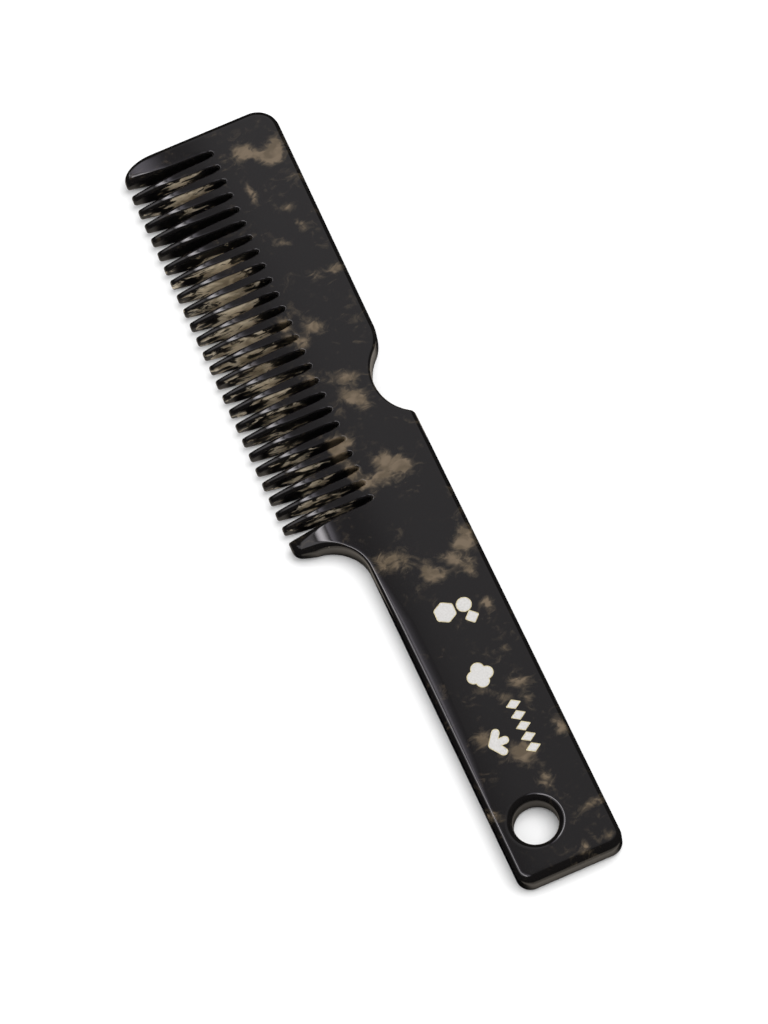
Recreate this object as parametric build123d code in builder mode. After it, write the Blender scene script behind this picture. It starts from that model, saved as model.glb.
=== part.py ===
from build123d import *
import math
import os

os.makedirs("parts", exist_ok=True)

# A one-piece handle comb sawn from polished sheet acetate, with small metal inlays bonded
# into shallow pockets on its face. The piece is divided into a handle, a bar, two guards and
# the teeth.
# Frame: X along the comb towards the hanging hole, Y from the tooth tips to the spine,
# Z up through the sheet. The origin is the middle of the box's underside.

# ---- driving dimensions, mm ----
length = 160.0                   # head end to handle end
width = 31.6                     # tooth tips to the handle's outer corner
thickness = 5.0                  # polished sheet

spine_y = 14.45                  # back of the head
head_corner_radius = 4.5
edge_radius = 1.0                # polished round of every outer edge

notch_radius = 9.0               # thumb notch between the head and the handle
notch_x = -19.0
notch_bottom_y = 10.0
notch_shoulder_radius = 7.0      # long shoulder on the head's side
notch_corner_radius = 1.3        # crisp corner on the handle's side

handle_end_width = 19.75
handle_corner_radius = 2.8
throat_x = 13.85                 # the handle's front edge turns down to the last guard here
throat_y = -4.65
throat_radius = 7.4

guard_corner_radius = 3.4        # first guard's outer corner
last_guard_tip_x = 5.3
last_guard_corner_radius = 1.9

slot_count = 25                  # between 24 teeth and a guard at each end
tooth_pitch = 3.18
first_slot_x = -74.9
teeth_top_y = -1.0               # the head's bar meets the teeth here, just below their roots
slot_root_y = 0.75
slot_root_width = 0.8
slot_width = 1.25
slot_tip_width = 2.0
slot_shoulder = 1.5              # length over which a root opens to the full width
slot_edge_radius = 0.3

runout_radius = 0.3              # round groove that slopes out of each slot's root
runout_slope = 50.0              # degrees from the face
runout_face_y = 1.35             # where the groove's axis meets the face
runout_length = 8.0              # of its cutter

taper_start_y = -7.5             # the teeth are full thickness above this line
tip_thickness = 2.6
tip_edge_radius = 0.9

hole_radius = 4.0
hole_rim_radius = 1.2
hole_x = 69.85
hole_y = 3.1

pocket_depth = 0.5
bond_thickness = 0.1             # resin under each inlay
bond_margin = 0.12               # and the line of it that shows around the inlay

disc_centre = (27.4, 7.75)
disc_radius = 1.3

lozenge_centre = (30.1, 8.2)
lozenge_size = 1.75
lozenge_corner_radius = 0.2

shield_centre = (27.4, 4.15)
shield_radius = 2.0              # to the hexagon's corners, before they are rounded
shield_corner_radius = 0.5

petal_centre = (40.9, 5.1)
petal_radius = 1.15
petal_reach = 1.2

diamond_count = 5
diamond_pitch = 2.2
diamond_width = 1.7
diamond_height = 2.5
diamond_row_centre = (52.8, 8.2)

fan_base = (53.9, 1.9)
fan_leaf_length = 2.3
fan_leaf_width = 1.3
fan_spread = 55.0                # degrees between the leaves

# ---- worked out from them ----
half = length / 2
tips_y = -width / 2
back_slope = (width / 2 - spine_y) / (half - handle_corner_radius - notch_x)
handle_back_end_y = width / 2 + handle_corner_radius * back_slope
handle_front_end_y = handle_back_end_y - handle_end_width
throat_bottom_y = throat_y - throat_radius
slot_positions = [first_slot_x + i * tooth_pitch for i in range(slot_count)]
taper_drop = (thickness - tip_thickness) / 2
overrun = 1.0                    # cutters run this far past the stock
inlay_thickness = pocket_depth - bond_thickness
face = Plane.XY.offset(thickness)


def nearest(x, y):
    """The open sketch's vertex nearest to a point."""
    return vertices().sort_by_distance((x, y))[0]


def lies_on_a_face(edge):
    """True for a slot edge on the top or bottom of the teeth, not one down a slot's corner."""
    direction = edge % 0.5
    runs_across = abs(direction.X) > 0.9999 and (edge @ 0.5).Y < 0
    return abs(direction.Z) < 0.9 and not runs_across


# ---- inlay outlines, on the top face ----
with BuildSketch(face) as disc_outline:
    with Locations(disc_centre):
        Circle(disc_radius)

with BuildSketch(face) as lozenge_outline:
    with Locations(lozenge_centre):
        Rectangle(lozenge_size, lozenge_size, rotation=45)
    fillet(vertices(), lozenge_corner_radius)

with BuildSketch(face) as shield_outline:
    with Locations(shield_centre):
        RegularPolygon(shield_radius, 6)
    fillet(vertices(), shield_corner_radius)

with BuildSketch(face) as petal_outline:
    with Locations(petal_centre):
        with PolarLocations(petal_reach, 4):
            Circle(petal_radius)
        Circle(petal_reach)

with BuildSketch(face) as diamond_row_outline:
    with Locations(diamond_row_centre):
        with GridLocations(diamond_pitch, 1, diamond_count, 1):
            Polygon(
                (-diamond_width / 2, 0),
                (0, -diamond_height / 2),
                (diamond_width / 2, 0),
                (0, diamond_height / 2),
            )

with BuildSketch(face) as fan_outline:
    for turn in (90 - fan_spread, 90, 90 + fan_spread):
        with Locations(Location((*fan_base, 0), (0, 0, turn))):
            SlotCenterPoint((fan_leaf_length / 2, 0), (fan_leaf_length, 0), fan_leaf_width)

inlay_outlines = {
    "disc": disc_outline,
    "lozenge": lozenge_outline,
    "shield": shield_outline,
    "petal": petal_outline,
    "diamond_row": diamond_row_outline,
    "fan": fan_outline,
}
pocket_outlines = {}
for name, inlay_outline in inlay_outlines.items():
    with BuildSketch(face) as pocket_outline:
        add(inlay_outline.sketch)
        offset(amount=bond_margin, kind=Kind.ARC)
    pocket_outlines[name] = pocket_outline

# ---- cutter for the end of a slot, at X = 0 ----
with BuildPart() as runout_cutter:
    with BuildSketch(
        Plane(
            origin=(0, runout_face_y, thickness),
            z_dir=(0, math.cos(math.radians(runout_slope)), math.sin(math.radians(runout_slope))),
        )
    ):
        Circle(runout_radius)
    extrude(amount=runout_length / 2, both=True)
    mirror(about=Plane.XY.offset(thickness / 2))

# ---- the whole comb, in one piece ----
with BuildPart() as comb:
    with BuildSketch():
        with BuildLine():
            Polyline(
                (-half, spine_y),
                (notch_x, spine_y),
                (half, handle_back_end_y),
                (half, handle_front_end_y),
                (throat_x, throat_y),
                (throat_x, throat_bottom_y),
                (throat_x - throat_radius, throat_bottom_y),
                (last_guard_tip_x, tips_y),
                (-half, tips_y),
                close=True,
            )
        make_face()
        with Locations((throat_x, throat_bottom_y)):
            Circle(throat_radius, mode=Mode.SUBTRACT)
        with Locations((notch_x, notch_bottom_y + notch_radius)):
            Circle(notch_radius, mode=Mode.SUBTRACT)
        notch_chord = math.sqrt(notch_radius**2 - (notch_bottom_y + notch_radius - spine_y) ** 2)
        fillet(nearest(notch_x - notch_chord, spine_y), notch_shoulder_radius)
        fillet(nearest(notch_x + notch_chord, spine_y), notch_corner_radius)
        fillet(nearest(-half, spine_y), head_corner_radius)
        fillet(nearest(-half, tips_y), guard_corner_radius)
        fillet(nearest(last_guard_tip_x, tips_y), last_guard_corner_radius)
        fillet(nearest(half, handle_back_end_y), handle_corner_radius)
        fillet(nearest(half, handle_front_end_y), handle_corner_radius)
    extrude(amount=thickness)
    fillet(edges().filter_by(Plane.XY), edge_radius)

    # hanging hole, with a rounded rim on both faces
    with Locations((hole_x, hole_y, thickness)):
        Hole(hole_radius)
    hole_rims = edges().filter_by(GeomType.CIRCLE).sort_by_distance((hole_x, hole_y, 0))
    fillet(hole_rims.filter_by(lambda rim: abs(rim.radius - hole_radius) < 0.001), hole_rim_radius)

    # both faces curve in towards the tips
    with BuildSketch(Plane.YZ.offset(-half - overrun)):
        with BuildLine():
            underside = Line((width, 0), (taper_start_y, 0))
            lower_curve = TangentArc(underside @ 1, (tips_y, taper_drop), tangent=(-1, 0))
            tip_end = Line(lower_curve @ 1, (tips_y, thickness - taper_drop))
            upper_curve = TangentArc((taper_start_y, thickness), tip_end @ 1, tangent=(-1, 0))
            top = Line(upper_curve @ 0, (width, thickness))
            Line(top @ 1, underside @ 0)
        make_face()
        fillet(vertices().filter_by_position(Axis.Y, tips_y, tips_y), tip_edge_radius)
    extrude(amount=length + 2 * overrun, mode=Mode.INTERSECT)

    # slots between the teeth, wider at the tips than at the root
    with BuildSketch():
        for slot_x in slot_positions:
            with BuildLine(Plane((slot_x, 0, 0))):
                root_start = (slot_root_width / 2, slot_root_y - slot_root_width / 2)
                root_end = (-root_start[0], root_start[1])
                root = ThreePointArc(root_start, (0, slot_root_y), root_end)
                shoulder = Line(root @ 1, (-slot_width / 2, slot_root_y - slot_shoulder))
                wall = Line(shoulder @ 1, (-slot_tip_width / 2, tips_y - overrun))
                mouth = Line(wall @ 1, (slot_tip_width / 2, tips_y - overrun))
                far_wall = Line(mouth @ 1, (slot_width / 2, slot_root_y - slot_shoulder))
                Line(far_wall @ 1, root @ 0)
            make_face()
    extrude(amount=thickness, mode=Mode.SUBTRACT)
    slot_edges = edges(Select.LAST).filter_by(lies_on_a_face)
    fillet(slot_edges, slot_edge_radius)

    # a groove slopes out of each root onto both faces
    with Locations(*[(slot_x, 0, 0) for slot_x in slot_positions]):
        add(runout_cutter.part, mode=Mode.SUBTRACT)

    # pockets for the inlays
    for pocket_outline in pocket_outlines.values():
        add(pocket_outline.sketch)
        extrude(amount=-pocket_depth, mode=Mode.SUBTRACT)

# ---- its nodes, which meet face to face, so each gap between two teeth lies between two nodes ----
handle_start = Plane.YZ.offset(throat_x)
with BuildPart() as handle:
    add(comb.part)
    split(bisect_by=handle_start, keep=Keep.TOP)

with BuildPart() as head:
    add(comb.part)
    split(bisect_by=handle_start, keep=Keep.BOTTOM)

teeth_top = Plane.XZ.offset(-teeth_top_y)
with BuildPart() as head_bar:
    add(head.part)
    split(bisect_by=teeth_top, keep=Keep.BOTTOM)

with BuildPart() as teeth:
    add(head.part)
    split(bisect_by=teeth_top, keep=Keep.TOP)

tooth_names = [f"tooth_{number:02d}" for number in range(1, slot_count)]
toothed_names = ["head_guard", *tooth_names, "throat_guard"]
body_nodes = {"handle": handle.solid(), "head_bar": head_bar.solid()}
body_nodes.update(zip(toothed_names, teeth.solids().sort_by(Axis.X), strict=True))

for name, solid in body_nodes.items():
    solid.label = name
    export_step(solid, "parts/" + name + ".step")

# ---- inlays and the resin that holds them ----
for name, inlay_outline in inlay_outlines.items():
    with BuildPart() as inlay:
        add(inlay_outline.sketch)
        extrude(amount=-inlay_thickness)
    inlay.part.label = name + "_inlay"
    export_step(inlay.part, "parts/" + name + "_inlay.step")

    with BuildPart() as bond:
        add(pocket_outlines[name].sketch)
        extrude(amount=-pocket_depth)
        add(inlay.part, mode=Mode.SUBTRACT)
    bond.part.label = name + "_bond"
    export_step(bond.part, "parts/" + name + "_bond.step")
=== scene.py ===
"""A polished acetate handle comb with small metal inlays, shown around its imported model.

Lengths in the classes are millimetres in the row frame, with Z from the sheet's underside.
X runs along the comb to the hanging hole and Y from the tooth tips to the spine.
"""

import logging
from dataclasses import dataclass, field
from enum import Enum

import bpy
import numpy as np
from mathutils import Matrix, Vector
from mathutils.geometry import delaunay_2d_cdt


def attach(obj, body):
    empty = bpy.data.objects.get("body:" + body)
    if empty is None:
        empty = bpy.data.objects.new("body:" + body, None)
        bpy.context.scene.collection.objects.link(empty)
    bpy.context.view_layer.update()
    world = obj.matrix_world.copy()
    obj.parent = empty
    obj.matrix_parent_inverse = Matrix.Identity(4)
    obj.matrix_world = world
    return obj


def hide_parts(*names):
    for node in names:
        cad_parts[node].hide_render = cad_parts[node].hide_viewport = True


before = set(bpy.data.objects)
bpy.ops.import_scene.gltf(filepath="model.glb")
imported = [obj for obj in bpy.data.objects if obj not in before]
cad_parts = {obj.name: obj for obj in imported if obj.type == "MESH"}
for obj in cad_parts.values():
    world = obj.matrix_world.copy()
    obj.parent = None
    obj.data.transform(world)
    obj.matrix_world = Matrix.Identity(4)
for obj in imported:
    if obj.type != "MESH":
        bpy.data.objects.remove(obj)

LOG = logging.getLogger("comb")
MM = 0.001
SHARP_DEGREES = 40.0             # a steeper fold shades as an edge
MERGE = 1e-7                     # points closer than this are one to the triangulation
Pair = tuple[float, float]
Colour = tuple[float, float, float]


class Slot(Enum):
    """The record's material slots."""

    ACETATE = "acetate"
    METAL = "inlay_metal"
    RESIN = "bond_resin"


# ---------------------------------------------------------------- mesh helpers


def skin(first: int, rows: int, columns: int) -> np.ndarray:
    """Quads over a grid of vertices whose columns close on themselves.

    Each face takes its corners in the order row, next row, next row and column, next column,
    so it faces along the row direction crossed with the column direction.

    Args:
        first: index of the grid's first vertex.
        rows: number of rings.
        columns: vertices in a ring.

    Returns:
        Vertex indices, four to a face.
    """
    row, column = np.meshgrid(np.arange(rows - 1), np.arange(columns), indexing="ij")
    after = (column + 1) % columns
    corners = (row * columns + column, (row + 1) * columns + column,
               (row + 1) * columns + after, row * columns + after)
    return first + np.stack([c.ravel() for c in corners], axis=1)


def cap(ring: int, columns: int, pole: int, top: bool) -> np.ndarray:
    """Triangles from a ring to a single vertex.

    Args:
        ring: index of the ring's first vertex.
        columns: vertices in the ring.
        pole: index of the single vertex.
        top: True where the pole comes before the ring.

    Returns:
        Vertex indices, three to a face.
    """
    here = ring + np.arange(columns)
    after = ring + (np.arange(columns) + 1) % columns
    centre = np.full(columns, pole)
    return np.stack([centre, here, after] if top else [centre, after, here], axis=1)


@dataclass
class Skin:
    """Vertices and faces gathered for one mesh, in millimetres."""

    blocks: list[np.ndarray] = field(default_factory=list)
    faces: list[np.ndarray] = field(default_factory=list)
    count: int = 0

    def add(self, points: np.ndarray) -> int:
        """Adds vertices.

        Args:
            points: any array whose last axis is X, Y, Z.

        Returns:
            The index of the first one.
        """
        flat = points.reshape(-1, 3)
        first = self.count
        self.blocks.append(flat)
        self.count += len(flat)
        return first

    def add_rings(self, rings: np.ndarray) -> int:
        """Adds a grid of rings and the quads between them, and returns its first index."""
        first = self.add(rings)
        self.faces.append(skin(first, rings.shape[0], rings.shape[1]))
        return first

    def points(self) -> np.ndarray:
        """All vertices so far."""
        return np.concatenate(self.blocks)

    def mesh(self, name: str, attributes: dict[str, np.ndarray] | None = None) -> bpy.types.Object:
        """Makes the object, smooth, at the origin, in metres.

        Args:
            name: the piece's name.
            attributes: values at the vertices, by attribute name.

        Returns:
            The linked object.
        """
        data = bpy.data.meshes.new(name)
        faces = [face for block in self.faces for face in block.tolist()]
        data.from_pydata((self.points() * MM).tolist(), [], faces)
        for key, values in (attributes or {}).items():
            layer = data.attributes.new(key, "FLOAT", "POINT")
            layer.data.foreach_set("value", values.astype(np.float32))
        data.polygons.foreach_set("use_smooth", np.ones(len(data.polygons), bool))
        data.update()
        data.set_sharp_from_angle(angle=np.radians(SHARP_DEGREES))
        piece = bpy.data.objects.new(name, data)
        bpy.context.scene.collection.objects.link(piece)
        LOG.info("%s: %d vertices, %d faces", name, len(data.vertices), len(data.polygons))
        return piece


def triangulate(loops: list[np.ndarray], inside: np.ndarray) -> np.ndarray:
    """Fills the area between an outer loop and its holes, by constrained Delaunay triangles.

    Args:
        loops: the outer loop first, then the holes, each n by 2.
        inside: points within the area that the triangles also use.

    Returns:
        Triangles as indices into the loops and then the inside points, all facing +Z.
    """
    points = np.concatenate([*loops, inside])
    edges = []
    first = 0
    for loop in loops:
        ring = first + np.arange(len(loop))
        edges.append(np.stack([ring, np.roll(ring, -1)], axis=1))
        first += len(loop)
    result = delaunay_2d_cdt([Vector(p) for p in points.tolist()],
                             np.concatenate(edges).tolist(), [], 2, MERGE)
    origin = np.array([source[0] for source in result[3]])
    triangles = origin[np.array(result[2])]
    middle = points[triangles].mean(axis=1)
    for hole in loops[1:]:
        keep = ~within(middle, hole)
        triangles, middle = triangles[keep], middle[keep]
    a, b, c = (points[triangles[:, i]] for i in range(3))
    area = (b - a)[:, 0] * (c - a)[:, 1] - (b - a)[:, 1] * (c - a)[:, 0]
    triangles[area < 0] = triangles[area < 0][:, ::-1]
    return triangles


def within(points: np.ndarray, loop: np.ndarray) -> np.ndarray:
    """True for each point inside a closed loop: a ray to +X crosses it an odd number of times."""
    x, y = points[:, :1], points[:, 1:]
    ax, ay = loop[:, 0], loop[:, 1]
    bx, by = np.roll(ax, -1), np.roll(ay, -1)
    spans = (ay > y) != (by > y)
    rise = np.where(by == ay, 1.0, by - ay)
    return ((spans & (x < ax + (y - ay) * (bx - ax) / rise)).sum(axis=1) % 2).astype(bool)


def clearance(points: np.ndarray, loop: np.ndarray) -> np.ndarray:
    """Distance from each point to the nearest vertex of a loop."""
    return np.sqrt(((points[:, None, :] - loop[None, :, :]) ** 2).sum(axis=2)).min(axis=1)


# ---------------------------------------------------------------- outlines


@dataclass(frozen=True)
class Edge:
    """How the face turns down into the wall; several values are spread evenly along a stretch.

    Attributes:
        reach: how far the round runs in over the face.
        drop: how far it runs down the wall.
        lead: width of the gently rolled face just inside the round.
        toward: where the rolled face ends, measured from the outline; straight inwards if empty.
    """

    reach: tuple[float, ...]
    drop: tuple[float, ...]
    lead: tuple[float, ...] = (0.08,)
    toward: tuple[Pair, ...] = ()


@dataclass
class Trace:
    """A closed outline drawn stretch by stretch, anticlockwise round material.

    Attributes:
        end: where the last stretch stopped.
        points: blocks of X, Y samples, each without its stretch's last point.
        edges: blocks of reach, drop, lead and the two parts of toward at those samples.
    """

    end: np.ndarray
    points: list[np.ndarray] = field(default_factory=list)
    edges: list[np.ndarray] = field(default_factory=list)

    def _keep(self, points: np.ndarray, share: np.ndarray, edge: Edge) -> None:
        """Stores samples, with each edge value interpolated along the stretch."""
        toward = zip(*edge.toward, strict=True) if edge.toward else ((np.nan,), (np.nan,))
        values = [np.interp(share, np.linspace(0, 1, len(v)), v) if len(v) > 1
                  else np.full(len(share), v[0])
                  for v in (edge.reach, edge.drop, edge.lead, *toward)]
        self.points.append(points)
        self.edges.append(np.stack(values, axis=1))

    def line(self, to: Pair, edge: Edge, step: float = 0.8) -> None:
        """Draws a straight stretch, cut evenly into pieces no longer than step."""
        target = np.array(to, float)
        count = max(1, int(np.ceil(np.linalg.norm(target - self.end) / step)))
        share = np.arange(count) / count
        self._keep(self.end + share[:, None] * (target - self.end), share, edge)
        self.end = target

    def arc(self, centre: Pair, radii: Pair, degrees: Pair, edge: Edge, count: int) -> None:
        """Draws part of an ellipse: centre plus radii times the cosine and sine of the angle."""
        share = np.arange(count) / count
        turn = np.radians(np.interp(share, (0, 1), degrees))
        circle = np.stack([np.cos(turn), np.sin(turn)], axis=1)
        self._keep(np.array(centre) + circle * np.array(radii), share, edge)
        last = np.radians(degrees[1])
        self.end = np.array(centre) + np.array(radii) * np.array([np.cos(last), np.sin(last)])

    def corner(self, at: Pair, after: Pair, radius: float, edge: Edge, along: Edge,
               count: int = 14) -> None:
        """Draws on towards a corner and round it, with a tangent arc to the left.

        Args:
            at: the sharp corner.
            after: a point that the outline heads for next.
            radius: of the arc.
            edge: the edge round the arc.
            along: the edge on the way there.
            count: samples in the arc.
        """
        arrive = np.array(at) - self.end
        leave = np.array(after) - np.array(at)
        arrive, leave = arrive / np.linalg.norm(arrive), leave / np.linalg.norm(leave)
        turn = np.degrees(np.arctan2(arrive[0] * leave[1] - arrive[1] * leave[0], arrive @ leave))
        start = np.array(at) - arrive * radius * np.tan(np.radians(turn) / 2)
        inward = np.array([-arrive[1], arrive[0]])
        self.line(tuple(start), along)
        first = angle(-inward)
        self.arc(tuple(start + inward * radius), (radius, radius), (first, first + turn), edge,
                 count)

    def samples(self) -> tuple[np.ndarray, np.ndarray]:
        """The points, and their edge values, as two arrays."""
        return np.concatenate(self.points), np.concatenate(self.edges)


def blend_centre(start: np.ndarray, heading: np.ndarray, circle: np.ndarray, radius: float,
                 blend: float, side: float) -> np.ndarray:
    """Centre of the arc that joins a straight back to the round cut in it.

    It lies one blend radius inside the line and one blend radius outside the cut's circle.

    Args:
        start: a point on the line.
        heading: the line's unit direction, with the material to its left.
        circle: the cut's centre.
        radius: the cut's radius.
        blend: the joining arc's radius.
        side: -1 before the cut and 1 after it.

    Returns:
        The centre.
    """
    inward = np.array([-heading[1], heading[0]])
    offset = circle - start
    depth = blend - offset @ inward
    along = offset @ heading + side * np.sqrt((radius + blend) ** 2 - depth**2)
    return start + heading * along + inward * blend


def angle(vector: np.ndarray) -> float:
    """Direction of a vector, in degrees from +X."""
    return float(np.degrees(np.arctan2(vector[1], vector[0])))


def on_circle(radius: float, *degrees: float) -> tuple[Pair, ...]:
    """Points at the given directions from the origin."""
    turn = np.radians(degrees)
    return tuple(zip((radius * np.cos(turn)).tolist(), (radius * np.sin(turn)).tolist(), strict=True))


# ---------------------------------------------------------------- acetate body


@dataclass(frozen=True)
class Cloud:
    """A drift of clear amber in the dark sheet.

    Attributes:
        x, y: its middle.
        long, short: half lengths of its two axes.
        lean: degrees from X to its long axis.
        weight: how solid it is.
    """

    x: float
    y: float
    long: float
    short: float
    lean: float = 0.0
    weight: float = 1.0


@dataclass(frozen=True)
class Clouds:
    """Where the sheet is clear, as a sum of soft elliptical drifts."""

    drifts: tuple[Cloud, ...]

    def density(self, points: np.ndarray) -> np.ndarray:
        """Sum over the drifts of weight times exp(-squared distance in half lengths)."""
        table = np.array([[c.x, c.y, c.long, c.short, np.radians(c.lean), c.weight]
                          for c in self.drifts])
        x = points[:, :1] - table[:, 0]
        y = points[:, 1:2] - table[:, 1]
        cos, sin = np.cos(table[:, 4]), np.sin(table[:, 4])
        along, across = x * cos + y * sin, y * cos - x * sin
        distance = (along / table[:, 2]) ** 2 + (across / table[:, 3]) ** 2
        return (table[:, 5] * np.exp(-distance)).sum(axis=1)


@dataclass
class CombBody:
    """The whole acetate body as one closed surface: rounded loops, walls and two faces."""

    clouds: Clouds
    # where the walls get painted light through the drifts, and painted shade near the slot roots
    wall_clouds: Clouds
    half_length: float = 80.0
    half_width: float = 15.8
    thickness: float = 5.0
    spine_y: float = 14.45
    head_corner: float = 4.5
    guard_centre: Pair = (-76.6, -9.5)
    guard_radii: Pair = (3.4, 6.3)

    slots: int = 25
    first_slot: float = -74.9
    pitch: float = 3.18
    root_centre_y: float = 0.35
    root_radius: float = 0.4
    shoulder: Pair = (0.625, -0.75)
    mouth: float = 0.977
    tip_corner: float = 0.3

    taper_start: float = -7.5
    taper_drop: float = 1.2
    guard_fall: float = 0.15

    last_guard_flank: Pair = (5.5, -15.8)
    last_guard_corner: float = 1.9
    throat_centre: Pair = (13.85, -12.05)
    throat_radius: float = 7.4
    handle_end_width: float = 19.75
    handle_corner: float = 2.8
    notch_centre: Pair = (-19.0, 19.0)
    notch_radius: float = 9.0
    notch_corner: float = 1.3
    notch_shoulder: float = 7.0

    hole_centre: Pair = (69.85, 3.1)
    hole_radius: float = 4.0
    hole_rim: float = 1.2
    hole_lead: float = 0.15
    hole_samples: int = 120

    roll_slope: float = 1.4          # degrees that the rolled face has dropped where the round starts
    lead_shares: tuple[float, ...] = (1.0, 0.66, 0.33)
    flat_margin: float = 0.02        # flat strip between the rolled face and the face's triangles
    taper_overrun: float = 1.02      # share of the taper's run over which its fall is worked out
    round_steps: int = 8
    wall_steps: int = 5
    fade_rings: int = 4
    spacing: float = 0.8
    row_share: float = 0.866
    rim_gap: float = 0.4             # least way from the face's own points to a rim
    pocket_gap: float = 0.25

    def tooth_tip(self, trace: Trace, x: float) -> None:
        """Draws from a slot's far wall round the tip of the tooth to the next slot's near wall.

        Args:
            trace: the outline so far.
            x: the slot that the tooth follows.
        """
        tip = self.tip_corner
        tips_y = -self.half_width
        half = self.pitch / 2 - self.mouth
        turn = ((half - 0.05, 0.55), (half - 0.13, 0.73), (half - tip - 0.02, 0.805))
        back = tuple((-across, along) for across, along in turn[::-1])
        corner = x + self.mouth + tip
        trace.arc((corner, tips_y + tip), (tip, tip), (180, 270),
                  Edge((0.75,), (1.0,), (0.02,), turn), 6)
        far = x + self.pitch - self.mouth - tip
        trace.line((far, tips_y), Edge((0.78,), (1.0,), (0.02,), (turn[-1], back[0])), 0.15)
        trace.arc((far, tips_y + tip), (tip, tip), (-90, 0),
                  Edge((0.75,), (1.0,), (0.02,), back), 6)

    def slot_trace(self, trace: Trace, x: float, near: Edge, far: Edge) -> None:
        """Draws the two walls and the root of one slot.

        The root's round runs far up the face in the middle, where the saw ran out.

        Args:
            trace: the outline so far.
            x: the slot's middle.
            near: the edge of its near wall, from the mouth up.
            far: the edge of its far wall, from the root down.
        """
        side, deep = self.shoulder
        mouth_y = -self.half_width + self.tip_corner
        neck = Edge((0.33, 0.35), (0.33, 0.35))
        neck_down = Edge((0.35, 0.33), (0.35, 0.33))
        runout = Edge((0.35, 0.40, 0.50, 0.62, 0.50, 0.40, 0.35),
                      (0.35, 0.55, 0.9, 1.3, 0.9, 0.55, 0.35), (0.05,))
        trace.line((x - side, deep), near, 0.6)
        trace.line((x - self.root_radius, self.root_centre_y), neck, 0.4)
        trace.arc((x, self.root_centre_y), (self.root_radius,) * 2, (180, 0), runout, 18)
        trace.line((x + side, deep), neck_down, 0.4)
        trace.line((x + self.mouth, mouth_y), far, 0.6)

    def tooth_flanks(self) -> tuple[Edge, Edge]:
        """Edges of a tooth's wall from the tip up, and from the root down.

        The flat of a tooth narrows from its root to a fine ridge, and the round beside it widens.
        """
        reach = (0.54, 0.60, 0.64, 0.47, 0.35, 0.30, 0.33)
        drop = (1.0, 0.80, 0.62, 0.50, 0.42, 0.36, 0.33)
        lead = (0.02, 0.03, 0.04, 0.05, 0.06, 0.08)
        across = (0.563, 0.622, 0.67, 0.52, 0.43, 0.40, 0.43)
        along = (0.55, 0.457, 0.364, 0.271, 0.178, 0.084, 0.0)
        near = tuple((-a, b) for a, b in zip(across, along, strict=True))
        far = tuple(zip(across, along, strict=True))[::-1]
        return (Edge(reach, drop, lead, near),
                Edge(reach[::-1], drop[::-1], lead[::-1], far))

    def outline(self) -> tuple[np.ndarray, np.ndarray]:
        """The comb's outline, from the head's end round by the teeth, handle, notch and spine.

        Returns:
            Its samples, and their reach, drop, lead and toward.
        """
        left, right = -self.half_length, self.half_length
        rise = self.half_width - self.spine_y
        slope = rise / (right - self.handle_corner - self.notch_centre[0])
        back_y = self.half_width + self.handle_corner * slope
        front_y = back_y - self.handle_end_width
        throat_top = (self.throat_centre[0], self.throat_centre[1] + self.throat_radius)
        throat_side = (self.throat_centre[0] - self.throat_radius, self.throat_centre[1])

        head_end = Edge((1.1,), (1.1,), (0.5,))
        spine = Edge((1.0,), (1.0,), (0.5,))
        front = Edge((0.5, 0.8, 1.0, 1.0, 1.0, 1.0), (1.0,), (0.6, 2.2, 2.2, 1.8, 0.3, 0.3))
        handle_end = Edge((1.5,), (1.6,), (0.8,))
        throat = Edge((1.45, 0.8, 0.4, 0.4, 0.5), (1.3, 1.3, 1.2, 1.1, 1.0),
                      (0.2, 0.3, 0.4, 0.5, 0.6))
        notch = Edge((0.55,), (0.6,), (0.2,))

        trace = Trace(np.array([left, self.spine_y - self.head_corner]))
        trace.line((left, self.guard_centre[1]), head_end)
        tip, tips_y = self.tip_corner, -self.half_width
        near, far = self.tooth_flanks()
        guard_near = Edge((1.6, 1.13, 0.66, 0.32, 0.30, 0.30, 0.33),
                          (1.6, 1.3, 0.9, 0.6, 0.4, 0.33, 0.33),
                          (0.1, 0.35, 0.9, 1.3, 1.4, 1.2, 0.08),
                          ((-1.40, 1.17), (-1.48, 0.44), (-1.54, 0.18), (-1.62, 0.0), (-1.70, 0.0),
                           (-1.50, 0.0), (-0.43, 0.0)))
        trace.arc(self.guard_centre, self.guard_radii, (180, 270),
                  Edge((1.1, 1.1, 1.1, 1.4), (1.1, 1.3, 1.5, 1.6), (0.5, 0.2, 0.1),
                       ((1.6, 0.0), (1.05, 0.60), (0.42, 1.10), (-0.75, 1.40))), 30)
        corner = self.first_slot - self.mouth - tip
        trace.line((corner, tips_y),
                   Edge((1.5,), (1.6,), (0.1,), ((-0.75, 1.40), (-1.13, 1.42))), 0.2)
        trace.arc((corner, tips_y + tip), (tip, tip), (-90, 0),
                  Edge((1.6,), (1.6,), (0.1,), ((-1.13, 1.42), (-1.40, 1.17))), 6)
        last = self.slots - 1
        for number in range(last):
            x = self.first_slot + number * self.pitch
            self.slot_trace(trace, x, near if number else guard_near, far)
            self.tooth_tip(trace, x)
        last_far = Edge((0.33, 0.30, 0.40, 0.55, 0.95, 1.60, 2.20),
                        (0.33, 0.33, 0.36, 0.5, 0.7, 1.0, 1.1), (0.08, 0.1, 0.1),
                        ((0.43, 0.0), (0.42, 0.0), (0.50, 0.0), (0.68, 0.0), (1.05, 0.15),
                         (1.80, 0.15), (2.20, 1.05)))
        x = self.first_slot + last * self.pitch
        self.slot_trace(trace, x, near, last_far)
        trace.arc((x + self.mouth + tip, tips_y + tip), (tip, tip), (180, 270),
                  Edge((2.2,), (1.1,), (0.1,), ((2.20, 1.05), (1.92, 1.30))), 6)
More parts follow.
